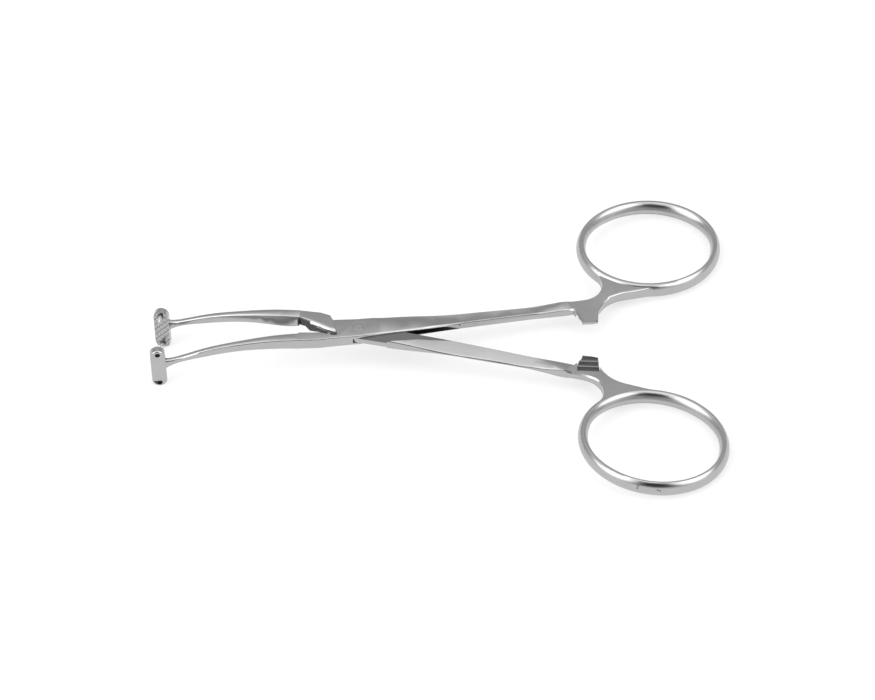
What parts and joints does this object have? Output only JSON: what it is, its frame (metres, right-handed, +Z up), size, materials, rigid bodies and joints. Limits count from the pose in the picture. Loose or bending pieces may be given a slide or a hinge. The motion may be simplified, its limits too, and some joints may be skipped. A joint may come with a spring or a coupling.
{
  "type": "scalp flap forceps",
  "caption": "Scalp flap forceps with a box lock, ratchet handles, finger rings and bent arms ending in upright serrated gripping bars with locating pins.",
  "frame": {"origin": "centre of the footprint, on the table", "axes": "+X towards the finger rings, +Y towards the far handle, +Z up; the hinge axis leans 4.7 degrees towards +X"},
  "size_m": [0.1232, 0.089, 0.0107],
  "materials": {
    "steel": "satin",
    "rivet_steel": "satin",
    "pin_steel": "satin"
  },
  "bodies": {
    "female": {"female_half": "steel", "lock_rivet": "rivet_steel"},
    "male": {"male_half": "steel", "upper_pin": "pin_steel", "lower_pin": "pin_steel"}
  },
  "joints": [
    {"name": "box_lock", "type": "hinge", "parent": "female", "child": "male", "pos_m": [-0.01691, 0, 0.0082], "axis": [0.0828, 0, 0.9966], "range_deg": [0, 13.85]}
  ]
}
